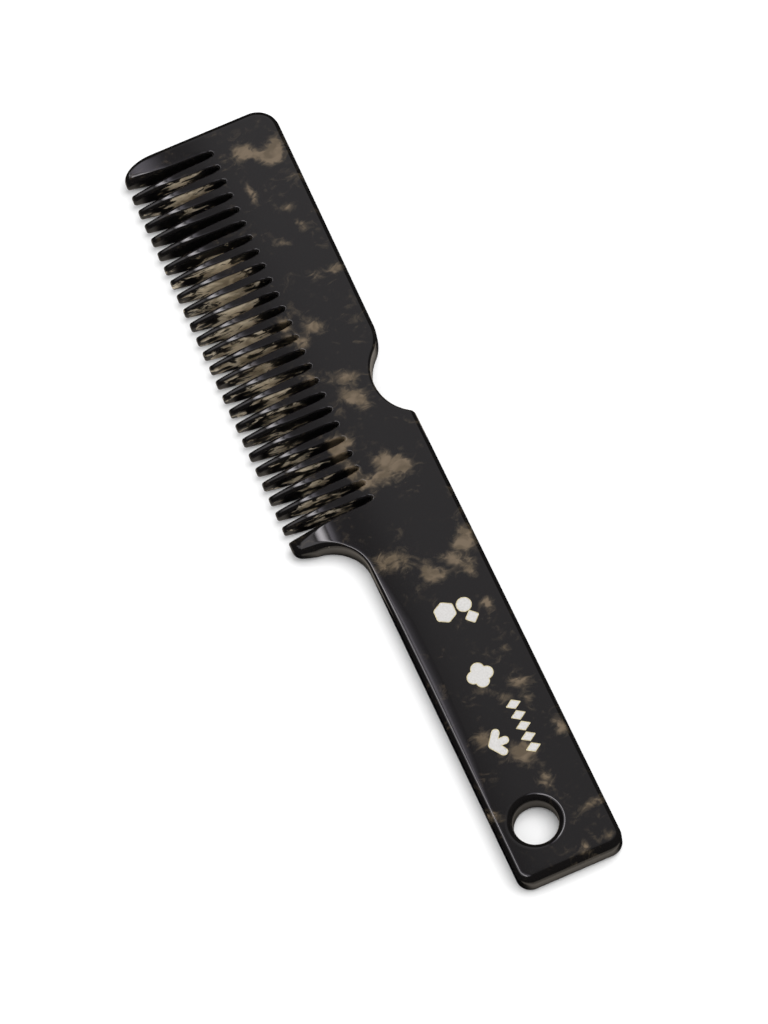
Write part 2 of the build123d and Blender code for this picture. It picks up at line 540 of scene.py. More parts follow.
        trace.corner(self.last_guard_flank, throat_side, self.last_guard_corner,
                     Edge((1.4, 1.1, 1.2), (1.1, 1.1, 1.2), (0.1,),
                          ((0.66, 1.25), (-0.47, 1.0), (-1.11, 0.47))),
                     Edge((2.2, 1.4), (1.1,), (0.1,), ((1.92, 1.30), (0.66, 1.25))))
        trace.line(throat_side, Edge((1.2, 1.45), (1.2, 1.3), (0.1, 0.2),
                                     ((-1.11, 0.47), (-1.67, 0.0))), 0.3)
        trace.arc(self.throat_centre, (self.throat_radius,) * 2, (180, 90), throat, 30)
        trace.corner((right, front_y), (right, back_y), self.handle_corner,
                     Edge((1.0, 1.5), (1.0, 1.5), (0.3, 0.8)), front)
        trace.corner((right, back_y), (self.notch_centre[0], self.spine_y), self.handle_corner,
                     Edge((1.5, 1.0), (1.5, 1.0), (0.8,)), handle_end)

        circle = np.array(self.notch_centre)
        heading = np.array([self.notch_centre[0] - right, self.spine_y - back_y])
        heading /= np.linalg.norm(heading)
        crisp = blend_centre(np.array([right, back_y]), heading, circle, self.notch_radius,
                             self.notch_corner, -1.0)
        slow = blend_centre(np.array([right, self.spine_y]), np.array([-1.0, 0.0]), circle,
                            self.notch_radius, self.notch_shoulder, 1.0)
        inward = np.array([-heading[1], heading[0]])
        trace.line(tuple(crisp - inward * self.notch_corner), spine)
        trace.arc(tuple(crisp), (self.notch_corner,) * 2, (angle(-inward), angle(circle - crisp)),
                  Edge((1.0, 0.55), (1.0, 0.6), (0.25,)), 12)
        trace.arc(self.notch_centre, (self.notch_radius,) * 2,
                  (angle(crisp - circle) + 360, angle(slow - circle) + 360), notch, 30)
        trace.arc(tuple(slow), (self.notch_shoulder,) * 2, (angle(circle - slow), 90),
                  Edge((0.55, 1.0), (0.6, 1.0), (0.2, 0.5)), 14)
        trace.corner((left, self.spine_y), (left, 0.0), self.head_corner,
                     Edge((1.0, 1.1), (1.0, 1.1), (0.5,)), spine)
        return trace.samples()

    def face_height(self, x: np.ndarray, y: np.ndarray, top: bool = True) -> np.ndarray:
        """Half the thickness: full above the taper's start, then a circular fall to the tips.

        The top of the head's guard, left of the first slot, falls only a little.
        """
        run = self.half_width + self.taper_start
        radius = (run**2 + self.taper_drop**2) / (2 * self.taper_drop)
        past = np.clip(self.taper_start - y, 0, run * self.taper_overrun)
        fall = radius - np.sqrt(radius**2 - past**2)
        share = np.where(top & (x < self.first_slot), self.guard_fall, 1.0)
        return self.thickness / 2 - fall * share

    def rounded_loop(self, points: np.ndarray, edges: np.ndarray) -> np.ndarray:
        """Rings that carry the edge's profile along a loop, from the top face to the underside.

        A ring lies one inset inside the loop. Over the lead, the face sinks with the square of
        the share passed; over the round, inset and height follow the cosine and sine.

        Args:
            points: the loop, material on its left.
            edges: reach, drop, lead and toward at each point.

        Returns:
            Rings by samples by X, Y, Z, centred on the sheet's middle.
        """
        ahead = np.roll(points, -1, axis=0) - np.roll(points, 1, axis=0)
        ahead /= np.linalg.norm(ahead, axis=1)[:, None]
        inward = np.stack([-ahead[:, 1], ahead[:, 0]], axis=1)
        reach, drop, lead = edges.T[:3]
        span = reach + lead + self.flat_margin
        toward = np.where(np.isnan(edges[:, 3:]), inward * span[:, None], edges[:, 3:])
        sag = lead * np.tan(np.radians(self.roll_slope)) / 2

        share = np.array(self.lead_shares)[:, None]
        turn = np.linspace(90, 0, self.round_steps + 1)[:, None]
        cos, sin = np.cos(np.radians(turn)), np.sin(np.radians(turn))
        inset = np.concatenate([span[None], reach + lead * share, reach * (1 - cos)])
        sunk = np.concatenate([0 * lead[None], sag * (1 - share) ** 2, sag + drop * (1 - sin)])
        place = points + (inset / span)[..., None] * toward
        high = self.face_height(place[..., 0], place[..., 1]) - sunk
        low = sunk - self.face_height(place[..., 0], place[..., 1], False)
        upper = np.concatenate([place, high[..., None]], axis=2)
        lower = np.concatenate([place, low[..., None]], axis=2)[::-1]
        rungs = np.linspace(0, 1, self.wall_steps + 2)[1:-1, None]
        wall = np.concatenate([np.broadcast_to(place[-1], (self.wall_steps, *points.shape)),
                               (high[-1] + rungs * (low[-1] - high[-1]))[..., None]], axis=2)
        return np.concatenate([upper, wall, lower])

    def hole(self) -> tuple[np.ndarray, np.ndarray]:
        """The hanging hole's loop, clockwise, and its edge values."""
        turn = np.radians(-np.arange(self.hole_samples) * 360 / self.hole_samples)
        circle = np.stack([np.cos(turn), np.sin(turn)], axis=1)
        edges = np.tile([self.hole_rim, self.hole_rim, self.hole_lead, np.nan, np.nan],
                        (self.hole_samples, 1))
        return np.array(self.hole_centre) + circle * self.hole_radius, edges

    def build(self, pockets: list[np.ndarray], pocket_depth: float) -> bpy.types.Object:
        """Builds the body.

        Args:
            pockets: clockwise outlines of the inlay pockets in the top face.
            pocket_depth: of each pocket.

        Returns:
            The object, with its cloud and wall attributes and the wall drift attribute that places
            painted light and shade on the walls.
        """
        body = Skin()
        loops = [self.rounded_loop(*self.outline()), self.rounded_loop(*self.hole())]
        firsts = [body.add_rings(loop) for loop in loops]
        tops = [first + np.arange(loop.shape[1]) for first, loop in zip(firsts, loops, strict=True)]
        feet = [first + (loop.shape[0] - 1) * loop.shape[1] + np.arange(loop.shape[1])
                for first, loop in zip(firsts, loops, strict=True)]
        flat = [loop[0, :, :2] for loop in loops]

        level = self.thickness / 2
        pocket_rims = []
        for rim in pockets:
            walls = np.stack([np.column_stack([rim, np.full(len(rim), z)])
                              for z in (level, level - pocket_depth)])
            first = body.add_rings(walls)
            centre = body.add(np.array([[*rim.mean(axis=0), level - pocket_depth]]))
            body.faces.append(cap(first + len(rim), len(rim), centre, False))
            pocket_rims.append(first + np.arange(len(rim)))

        rows = np.arange(-self.half_width, self.half_width, self.spacing * self.row_share)
        columns = np.arange(-self.half_length, self.half_length, self.spacing)
        x, y = np.meshgrid(columns, rows)
        x[1::2] += self.spacing / 2
        spread = np.stack([x.ravel(), y.ravel()], axis=1)
        spread = spread[within(spread, flat[0]) & ~within(spread, flat[1])]
        for rim in flat:
            spread = spread[clearance(spread, rim) > self.rim_gap]
        top_spread = spread
        for rim in pockets:
            top_spread = top_spread[~within(top_spread, rim)]
            top_spread = top_spread[clearance(top_spread, rim) > self.pocket_gap]

        for spots, rims, edge, up in ((top_spread, [*tops, *pocket_rims], [*flat, *pockets], True),
                                      (spread, feet, flat, False)):
            height = self.face_height(spots[:, 0], spots[:, 1], up) * (1 if up else -1)
            first = body.add(np.column_stack([spots, height]))
            index = np.concatenate([*rims, first + np.arange(len(spots))])
            triangles = index[triangulate(edge, spots)]
            body.faces.append(triangles if up else triangles[:, ::-1])

        points = body.points()
        rank = np.concatenate([np.repeat(self.wall_share(loop.shape[0]), loop.shape[1])
                               for loop in loops])
        wall = np.zeros(len(points))
        wall[:len(rank)] = rank
        body.blocks = [points + np.array([0, 0, level])]
        # the wall drift attribute carries the painted light and shade for the walls
        return body.mesh("comb_skin", {"cloud": self.clouds.density(points),
                                       "wall_cloud": self.wall_clouds.density(points), "wall": wall})

    def wall_share(self, rings: int) -> np.ndarray:
        """1 on the rings of the wall, falling to 0 over the round."""
        middle = (rings - 1) / 2
        flat = self.wall_steps / 2 + 1
        return np.clip(1 - (np.abs(np.arange(rings) - middle) - flat) / self.fade_rings, 0, 1)


# ---------------------------------------------------------------- inlays


@dataclass(frozen=True)
class Shape:
    """A plain outline seen from its own middle.

    Attributes:
        name: the inlay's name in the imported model.
        centre: its middle on the face.
    """

    name: str
    centre: Pair

    def distance(self, x: np.ndarray, y: np.ndarray) -> np.ndarray:
        """Signed distance from the outline, below 0 inside."""
        raise NotImplementedError

    def rim(self, margin: float, count: int = 120, limit: float = 8.0, halvings: int = 40
            ) -> np.ndarray:
        """Where each ray from the middle meets the outline grown by a margin.

        The meeting point is halved down to between a near and a far bound, for all rays at once.

        Args:
            margin: how far outside the shape the outline runs.
            count: number of rays, anticlockwise.
            limit: a distance that is outside every shape.
            halvings: of the stretch that the meeting point lies in.

        Returns:
            The outline, count by 2.
        """
        turn = np.arange(count) * 2 * np.pi / count
        cos, sin = np.cos(turn), np.sin(turn)
        near, far = np.zeros(count), np.full(count, limit)
        for _ in range(halvings):
            middle = (near + far) / 2
            out = self.distance(middle * cos, middle * sin) > margin
            near, far = np.where(out, near, middle), np.where(out, middle, far)
        return np.array(self.centre) + near[:, None] * np.stack([cos, sin], axis=1)


@dataclass(frozen=True)
class Disc(Shape):
    """A round."""

    radius: float = 1.3

    def distance(self, x: np.ndarray, y: np.ndarray) -> np.ndarray:
        """Distance from the middle, less the radius."""
        return np.hypot(x, y) - self.radius


@dataclass(frozen=True)
class Polygon(Shape):
    """A convex polygon with rounded corners.

    Attributes:
        corners: anticlockwise, about the middle.
        soften: radius of its corners.
    """

    corners: tuple[Pair, ...] = ()
    soften: float = 0.0

    def distance(self, x: np.ndarray, y: np.ndarray) -> np.ndarray:
        """Distance from the polygon drawn in by the corner radius, less that radius."""
        corners = np.array(self.corners)
        sides = np.roll(corners, -1, axis=0) - corners
        outward = np.stack([sides[:, 1], -sides[:, 0]], axis=1)
        outward /= np.linalg.norm(outward, axis=1)[:, None]
        bound = (corners * outward).sum(axis=1) - self.soften
        before = np.roll(outward, 1, axis=0)
        cross = before[:, 0] * outward[:, 1] - before[:, 1] * outward[:, 0]
        bound_before = np.roll(bound, 1)
        inner = np.stack([(bound_before * outward[:, 1] - bound * before[:, 1]) / cross,
                          (before[:, 0] * bound - outward[:, 0] * bound_before) / cross], axis=1)
        spots = np.stack([x, y], axis=1)[:, None, :]
        along = np.roll(inner, -1, axis=0) - inner
        share = ((spots - inner) * along).sum(axis=2) / (along**2).sum(axis=1)
        nearest = inner + np.clip(share, 0, 1)[..., None] * along
        gap = np.linalg.norm(spots - nearest, axis=2).min(axis=1)
        signed = ((spots * outward).sum(axis=2) - bound).max(axis=1)
        return np.where(signed < 0, signed, gap) - self.soften


@dataclass(frozen=True)
class Rounds(Shape):
    """Several bars with round ends, joined. A bar of no length is a disc.

    Attributes:
        bars: start x, start y, end x, end y and radius of each, about the middle.
    """

    bars: tuple[tuple[float, float, float, float, float], ...] = ()

    def distance(self, x: np.ndarray, y: np.ndarray) -> np.ndarray:
        """The least of the distances from each bar's middle line, less its radius."""
        bars = np.array(self.bars)
        start, run, radius = bars[:, :2], bars[:, 2:4] - bars[:, :2], bars[:, 4]
        spots = np.stack([x, y], axis=1)[:, None, :]
        length = np.maximum((run**2).sum(axis=1), 1e-12)
        share = np.clip(((spots - start) * run).sum(axis=2) / length, 0, 1)
        return (np.linalg.norm(spots - start - share[..., None] * run, axis=2) - radius).min(axis=1)


@dataclass(frozen=True)
class InlaySizes:
    """Sizes that every inlay shares."""

    face: float = CombBody.thickness
    pocket_depth: float = 0.5
    resin: float = 0.1
    margin: float = 0.12
    bevel: float = 0.05
    gap: float = 0.004


@dataclass
class Inlays:
    """The metal plates and the tinted resin under and around each."""

    shapes: tuple[Shape, ...]
    sizes: InlaySizes = InlaySizes()

    def pockets(self) -> list[np.ndarray]:
        """Clockwise outlines of the pockets in the face."""
        return [shape.rim(self.sizes.margin)[::-1] for shape in self.shapes]

    def dish(self, body: Skin, shape: Shape, profile: list[tuple[float, float]]) -> None:
        """Adds a closed surface: rings at outline margins and heights, closed at both middles.

        Args:
            body: where it goes.
            shape: the outline.
            profile: margin and height of each ring, from the top's middle to the bottom's.
        """
        rings = []
        for margin, z in profile:
            rim = shape.rim(margin)
            rings.append(np.column_stack([rim, np.full(len(rim), z)]))
        first = body.add_rings(np.stack(rings))
        columns = len(rings[0])
        top = body.add(np.array([[*shape.centre, profile[0][1]]]))
        foot = body.add(np.array([[*shape.centre, profile[-1][1]]]))
        body.faces.append(cap(first, columns, top, True))
        body.faces.append(cap(first + (len(rings) - 1) * columns, columns, foot, False))

    def plate(self, name: str) -> bpy.types.Object:
        """The metal of one inlay: a flat top with a small bevel, straight sides and a flat foot."""
        s = self.sizes
        foot = s.face - s.pocket_depth + s.resin + s.gap
        body = Skin()
        for shape in (one for one in self.shapes if one.name == name):
            self.dish(body, shape, [(-2.6 * s.bevel, s.face + s.gap), (-s.bevel, s.face + s.gap),
                                    (-0.3 * s.bevel, s.face + s.gap - 0.3 * s.bevel),
                                    (-s.gap, s.face - s.bevel), (-s.gap, foot)])
        return body.mesh(name + "_plate")

    def resin(self, name: str) -> bpy.types.Object:
        """The resin of one inlay: a thin cup, its rim level with the face."""
        s = self.sizes
        floor = s.face - s.pocket_depth + s.gap
        body = Skin()
        for shape in (one for one in self.shapes if one.name == name):
            self.dish(body, shape, [(0.0, floor + s.resin - s.gap), (0.0, s.face - 0.4 * s.bevel),
                                    (0.3 * s.margin, s.face), (0.7 * s.margin, s.face),
                                    (s.margin - s.gap, s.face - 0.4 * s.bevel),
                                    (s.margin - s.gap, floor)])
        return body.mesh(name + "_resin")

    def names(self) -> list[str]:
        """The inlays' names, once each, in order."""
        return list(dict.fromkeys(shape.name for shape in self.shapes))


# ---------------------------------------------------------------- finishes


class Nodes:
    """A small helper that lays out shader nodes in one material."""

    def __init__(self, name: str) -> None:
        """Starts a material with only an output and a principled shader."""
        self.material = bpy.data.materials.new(name)
        self.material.use_nodes = True
        self.tree = self.material.node_tree
        self.tree.nodes.clear()
        self.shader = self.tree.nodes.new("ShaderNodeBsdfPrincipled")
        output = self.tree.nodes.new("ShaderNodeOutputMaterial")
        self.link(self.shader.outputs[0], output.inputs["Surface"])
        place = self.tree.nodes.new("ShaderNodeTexCoord")
        scale = self.tree.nodes.new("ShaderNodeMapping")
        scale.inputs["Scale"].default_value = (1 / MM, 1 / MM, 1 / MM)
        self.link(place.outputs["Object"], scale.inputs["Vector"])
        self.place = scale.outputs["Vector"]

    def link(self, output: bpy.types.NodeSocket, entry: bpy.types.NodeSocket) -> None:
        """Joins two sockets."""
        self.tree.links.new(output, entry)

    def put(self, entry: bpy.types.NodeSocket, value: object) -> None:
        """Gives an input a socket's output or a plain value."""
        if isinstance(value, bpy.types.NodeSocket):
            self.link(value, entry)
        else:
            entry.default_value = value

    def noise(self, scale: float, detail: float, rough: float = 0.5, warp: float = 0.0,
              stretch: tuple[float, float, float] = (1, 1, 1), offset: Colour = (0, 0, 0)
              ) -> bpy.types.NodeSocket:
        """Fractal noise in cycles a millimetre, stretched and shifted, as a 0 to 1 value."""
        mapping = self.tree.nodes.new("ShaderNodeMapping")
        mapping.inputs["Scale"].default_value = stretch
        mapping.inputs["Location"].default_value = offset
        self.link(self.place, mapping.inputs["Vector"])
        node = self.tree.nodes.new("ShaderNodeTexNoise")
        node.inputs["Scale"].default_value = scale
        node.inputs["Detail"].default_value = detail
        node.inputs["Roughness"].default_value = rough
        node.inputs["Distortion"].default_value = warp
        self.link(mapping.outputs["Vector"], node.inputs["Vector"])
        return node.outputs["Fac"]

    def attribute(self, name: str) -> bpy.types.NodeSocket:
        """A value stored at the vertices."""
        node = self.tree.nodes.new("ShaderNodeAttribute")
        node.attribute_name = name
        return node.outputs["Fac"]

    def math(self, kind: str, a: object, b: object, c: object = 0.0) -> bpy.types.NodeSocket:
        """One Math node."""
        node = self.tree.nodes.new("ShaderNodeMath")
        node.operation = kind
        for entry, value in zip(node.inputs, (a, b, c), strict=True):
            self.put(entry, value)
        return node.outputs[0]

    def soft_step(self, value: bpy.types.NodeSocket, low: object, high: object,
                  to: Pair = (0.0, 1.0)) -> bpy.types.NodeSocket:
        """A smooth rise from one level to another, as value goes from low to high."""
        node = self.tree.nodes.new("ShaderNodeMapRange")
        node.interpolation_type = "SMOOTHSTEP"
        self.link(value, node.inputs["Value"])
        self.put(node.inputs["From Min"], low)
        self.put(node.inputs["From Max"], high)
        node.inputs["To Min"].default_value, node.inputs["To Max"].default_value = to
        return node.outputs["Result"]

    def mix(self, share: object, a: object, b: object) -> bpy.types.NodeSocket:
        """A colour between two colours."""
        node = self.tree.nodes.new("ShaderNodeMix")
        node.data_type = "RGBA"
        for entry, value in zip((node.inputs[0], node.inputs[6], node.inputs[7]), (share, a, b),
                                strict=True):
            self.put(entry, (*value, 1.0) if isinstance(value, tuple) else value)
        return node.outputs[2]

    def bump(self, height: bpy.types.NodeSocket, depth: float) -> None:
        """Feeds a height, in shares of depth millimetres, to the shader's normal."""
        node = self.tree.nodes.new("ShaderNodeBump")
        node.inputs["Distance"].default_value = depth * MM
        self.link(height, node.inputs["Height"])
        self.link(node.outputs["Normal"], self.shader.inputs["Normal"])


@dataclass(frozen=True)
class Acetate:
    """Hand-polished dark acetate with smoky olive-brown clouds.

    The clouds' edge is where their density plus fractal noise passes a threshold. On the sawn
    walls the colour is painted paler where the clear drifts are, with crisper edges: painted light
    that stands for light coming through them.
    """

    dark: Colour = (0.0055, 0.0050, 0.0050)
    smoke: Colour = (0.038, 0.030, 0.021)
    cloud: Colour = (0.080, 0.060, 0.038)
    pale: Colour = (0.128, 0.096, 0.064)
    # painted light: the pale wall tones stand for light coming through the drifts
    wall_cloud: Colour = (0.640, 0.550, 0.410)
    wall_backlit_deep: Colour = (0.290, 0.235, 0.160)
    roughness: Pair = (0.07, 0.28)
    ior: float = 1.49
    halo_edge: Pair = (0.12, 0.60)
    core_edge: Pair = (0.42, 0.78)
    wall_edge: Pair = (0.60, 0.76)

    def material(self) -> bpy.types.Material:
        """Builds the nodes."""
        n = Nodes("acetate")
        density, wall, deep = n.attribute("cloud"), n.attribute("wall"), n.attribute("wall_cloud")
        drift = n.noise(0.20, 2.0, 0.5, 0.5)
        curl = n.noise(0.60, 4.0, 0.55, 1.3, (1.0, 0.7, 1.0), (7.0, 3.0, 1.0))
        tone = n.noise(0.45, 2.5, 0.5, 0.8, (1.0, 0.7, 1.0), (31.0, 11.0, 5.0))
        thick = n.math("MULTIPLY_ADD", n.math("SUBTRACT", drift, 0.5), 1.1, density)
        thick = n.math("MULTIPLY_ADD", n.math("SUBTRACT", curl, 0.5), 1.4, thick)
        halo = n.soft_step(thick, *self.halo_edge)
        core = n.soft_step(thick, *self.core_edge)
        amber = n.mix(n.soft_step(tone, 0.36, 0.64), self.cloud, self.pale)
        on_face = n.mix(core, n.mix(halo, self.dark, self.smoke), amber)
        streaks = n.noise(0.55, 5.0, 0.62, 0.8, (1.0, 0.45, 1.2), (3.0, 17.0, 9.0))
        # the walls' colour: painted light in the drifts, placed by the wall drift attribute and the
        # streaks
        seen = n.math("MULTIPLY_ADD", n.math("SUBTRACT", streaks, 0.5), 2.6, deep)
        sides = n.soft_step(seen, *self.wall_edge)
        backlit_tone = n.mix(n.soft_step(tone, 0.35, 0.60), self.wall_backlit_deep, self.wall_cloud)
        backlit_wall = n.mix(sides, on_face, backlit_tone)
        n.put(n.shader.inputs["Base Color"], n.mix(wall, on_face, backlit_wall))
        n.put(n.shader.inputs["Roughness"], n.soft_step(wall, 0.2, 1.0, self.roughness))
        n.shader.inputs["IOR"].default_value = self.ior
        return n.material


@dataclass(frozen=True)
class Plate:
    """Satin pale silver with a faint grain.

    It is shaded as an even pale surface and not as bare metal, so that it stays pale from every
    side.
    """

    light: Colour = (0.500, 0.490, 0.477)
    shade: Colour = (0.430, 0.420, 0.405)
    metallic: float = 0.0
    roughness: Pair = (0.38, 0.55)

    def material(self) -> bpy.types.Material:
        """Builds the nodes."""
        n = Nodes("inlay_metal")
        grain = n.noise(3.0, 4.0, 0.6)
        n.put(n.shader.inputs["Base Color"],
              n.mix(n.soft_step(grain, 0.35, 0.65), self.shade, self.light))
        n.put(n.shader.inputs["Roughness"], n.soft_step(grain, 0.3, 0.7, self.roughness))
        n.shader.inputs["Metallic"].default_value = self.metallic
        n.bump(n.noise(14.0, 2.0), 0.004)
        return n.material


@dataclass(frozen=True)
class Resin:
    """Pale gold resin that fills the line round each inlay."""

    light: Colour = (0.62, 0.55, 0.33)
    shade: Colour = (0.42, 0.35, 0.19)
    roughness: float = 0.3

    def material(self) -> bpy.types.Material:
        """Builds the nodes."""
        n = Nodes("bond_resin")
        n.put(n.shader.inputs["Base Color"],
              n.mix(n.soft_step(n.noise(2.2, 3.0), 0.35, 0.65), self.shade, self.light))
        n.shader.inputs["Roughness"].default_value = self.roughness
        return n.material


def dress(piece: bpy.types.Object, material: bpy.types.Material, slot: Slot, *nodes: str) -> None:
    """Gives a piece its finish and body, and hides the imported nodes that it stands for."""
    piece.data.materials.append(material)
    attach(piece, "root")
    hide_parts(*nodes)


# ---------------------------------------------------------------- studio


@dataclass(frozen=True)
class View:
    """The camera: where it looks and from which side, in millimetres and degrees."""

    target: Colour = (4.013, 2.040, 2.723)
    distance: float = 926.73
    elevation: float = 65.594
    azimuth: float = 79.721
    roll: float = -13.648
    lens: float = 183.14
    clip: Pair = (0.01, 50.0)        # metres

    def build(self) -> None:
        """Adds the camera. Azimuth 0 looks along +Y; roll turns it about its line of sight."""
        e, a, r = np.radians([self.elevation, self.azimuth, self.roll])
        back = np.array([np.sin(a) * np.cos(e), -np.cos(a) * np.cos(e), np.sin(e)])
        right = np.array([np.cos(a), np.sin(a), 0.0])
        up = np.cross(back, right)
        turned_right = right * np.cos(r) + up * np.sin(r)
        turned_up = up * np.cos(r) - right * np.sin(r)
        data = bpy.data.cameras.new("camera")
        data.lens = self.lens
        data.clip_start, data.clip_end = self.clip
        camera = bpy.data.objects.new("camera", data)
        place = np.eye(4)
        place[:3, 0], place[:3, 1], place[:3, 2] = turned_right, turned_up, back
        place[:3, 3] = (np.array(self.target) + back * self.distance) * MM
        camera.matrix_world = Matrix(place.tolist())
        bpy.context.scene.collection.objects.link(camera)
        bpy.context.scene.camera = camera


def glowing(name: str, points: np.ndarray, glow: np.ndarray, colour: Colour) -> None:
    """Adds a grid that only polished surfaces see, with a radiance at each vertex.

    Args:
        name: of the stage object.
        points: rows by columns by X, Y, Z, in metres.
        glow: radiance at each point.
        colour: tint of the light.
    """
    rows, columns = glow.shape
    row, column = np.meshgrid(np.arange(rows - 1), np.arange(columns - 1), indexing="ij")
    corner = (row * columns + column).ravel()
    faces = np.stack([corner, corner + 1, corner + columns + 1, corner + columns], axis=1)
    data = bpy.data.meshes.new(name)
    data.from_pydata(points.reshape(-1, 3).tolist(), [], faces.tolist())
    layer = data.attributes.new("glow", "FLOAT", "POINT")
    layer.data.foreach_set("value", glow.ravel().astype(np.float32))
    material = bpy.data.materials.new(name)
    material.use_nodes = True
    tree = material.node_tree
    tree.nodes.clear()
    value = tree.nodes.new("ShaderNodeAttribute")
    value.attribute_name = "glow"
    emission = tree.nodes.new("ShaderNodeEmission")
    emission.inputs["Color"].default_value = (*colour, 1.0)
    output = tree.nodes.new("ShaderNodeOutputMaterial")
    tree.links.new(value.outputs["Fac"], emission.inputs["Strength"])
    tree.links.new(emission.outputs[0], output.inputs["Surface"])
    data.materials.append(material)
    card = bpy.data.objects.new(name, data)
    card.visible_camera = card.visible_diffuse = card.visible_shadow = False
    card.visible_transmission = card.visible_volume_scatter = False
    bpy.context.scene.collection.objects.link(card)


@dataclass(frozen=True)
class Card:
    """A glowing card above the comb.

    Attributes:
        centre: in metres.
        size: along X and across, in metres.
        glow: radiance at its -X and +X ends.
        fade: share of its width over which each long side dims.
        colour: tint of the light.
        end_fade: share of its length over which each end dims.
        grid: vertices along each side.
    """

    name: str
    centre: Colour
    size: Pair
    glow: Pair
    fade: float
    colour: Colour = (1.0, 0.96, 1.0)
    end_fade: float = 0.08
    grid: int = 41

    def build(self) -> None:
        """Adds the card. Its long sides dim with a smooth step and its ends over a short run."""
        share = np.linspace(-0.5, 0.5, self.grid)
        u, v = np.meshgrid(share, share, indexing="ij")
        points = np.stack([u * self.size[0], v * self.size[1], np.zeros_like(u)], axis=2)
        points += np.array(self.centre)
        side = np.clip((0.5 - np.abs(v)) / self.fade, 0, 1)
        end = np.clip((0.5 - np.abs(u)) / self.end_fade, 0, 1)
        glow = np.interp(u, (-0.5, 0.5), self.glow) * side * side * (3 - 2 * side) * end
        glowing(self.name, points, glow, self.colour)


@dataclass(frozen=True)
class Pool:
    """A lit stretch of floor with round corners, in millimetres.

    Attributes:
        centre: its middle.
        half: half its size along X and Y.
        corner: radius of its corners.
        strength: radiance.
    """

    centre: Pair
    half: Pair
    corner: float
    strength: float

    def glow(self, x: np.ndarray, y: np.ndarray, soft: float) -> np.ndarray:
        """Strength times a linear step over the soft width at the pool's side."""
        across = np.abs(x - self.centre[0]) - self.half[0] + self.corner
        along = np.abs(y - self.centre[1]) - self.half[1] + self.corner
        outside = np.hypot(np.maximum(across, 0), np.maximum(along, 0))
        gap = outside + np.minimum(np.maximum(across, along), 0) - self.corner
        return self.strength * np.clip(0.5 - gap / soft, 0, 1)


@dataclass(frozen=True)
class FloorGlow:
    """What the comb's walls see of the floor: warm past the ends, dark beneath and between teeth.

    Attributes:
        low, high: corners of the sheet, in millimetres.
        step: spacing of its vertices.
        soft: width over which a pool fades.
        sunk: how far the sheet lies under the floor.
        pools: the lit stretches.
    """

    low: Pair = (-90.0, -30.0)
    high: Pair = (100.0, 30.0)
    step: float = 0.5
    soft: float = 0.9
    sunk: float = 0.2
    colour: Colour = (1.0, 0.90, 0.78)
    pools: tuple[Pool, ...] = (
        Pool((90.8, 4.0), (10.0, 16.0), 3.0, 0.75),
        Pool(CombBody.throat_centre, (6.4, 6.4), 6.4, 0.70),
        Pool(CombBody.hole_centre, (3.3, 3.3), 3.3, 0.40),
        Pool((-39.0, -20.0), (43.0, 6.0), 1.0, 0.40),
        Pool((-18.0, 19.0), (9.3, 8.6), 8.6, 1.00),
    )

    def build(self) -> None:
        """Adds the sheet just under the floor, with the sum of its pools at each vertex."""
        x, y = np.meshgrid(np.arange(self.low[0], self.high[0], self.step),
                           np.arange(self.low[1], self.high[1], self.step), indexing="ij")
        glow = sum(pool.glow(x, y, self.soft) for pool in self.pools)
        points = np.stack([x, y, np.full_like(x, -self.sunk)], axis=2) * MM
        glowing("floor_glow", points, glow, self.colour)


@dataclass(frozen=True)
class Studio:
    """A white floor, an even sky, one soft key and the cards that the polish reflects."""

    sky: float = 0.82
    key_watts: float = 16.0
    key_place: Colour = (0.06, 0.45, 1.30)
    key_size: float = 1.15
    floor_size: float = 8.0
    floor_colour: Colour = (0.90, 0.90, 0.90)
    cards: tuple[Card, ...] = (
        Card("face_card", (-0.55, 0.32, 1.00), (1.10, 0.56), (0.95, 0.24), 0.06),
        Card("glow_card", (-0.35, -0.01, 0.992), (0.95, 0.17), (2.6, 2.2), 0.5, (0.93, 0.88, 1.0)),
        Card("edge_card", (-0.35, -0.115, 0.99), (0.95, 0.19), (11.0, 9.0), 0.5),
        Card("tip_card", (-0.35, -0.33, 0.98), (0.95, 0.30), (1.4, 1.4), 0.2),
    )

    def build(self) -> None:
        """Adds the floor, the sky, the key light and the cards."""
        scene = bpy.context.scene
        scene.view_settings.view_transform = "Standard"
        world = bpy.data.worlds.new("sky")
        scene.world = world
        world.use_nodes = True
        sky = world.node_tree.nodes["Background"]
        sky.inputs["Color"].default_value = (1, 1, 1, 1)
        sky.inputs["Strength"].default_value = self.sky
        world.cycles_visibility.glossy = False

        key = bpy.data.lights.new("key", "AREA")
        key.energy = self.key_watts
        key.size = self.key_size
        lamp = bpy.data.objects.new("key", key)
        lamp.location = self.key_place
        lamp.rotation_euler = Vector(self.key_place).to_track_quat("Z", "Y").to_euler()
        lamp.visible_glossy = False
        scene.collection.objects.link(lamp)

        half = self.floor_size / 2
        data = bpy.data.meshes.new("floor")
        data.from_pydata([(-half, -half, 0), (half, -half, 0), (half, half, 0), (-half, half, 0)],
                         [], [(0, 1, 2, 3)])
        material = bpy.data.materials.new("floor")
        material.use_nodes = True
        shader = material.node_tree.nodes["Principled BSDF"]
        shader.inputs["Base Color"].default_value = (*self.floor_colour, 1.0)
        shader.inputs["Roughness"].default_value = 1.0
        shader.inputs["Specular IOR Level"].default_value = 0.0
        data.materials.append(material)
        floor = bpy.data.objects.new("floor", data)
        floor.visible_glossy = False
        scene.collection.objects.link(floor)
        FloorGlow().build()
        for card in self.cards:
            card.build()


# ---------------------------------------------------------------- this comb


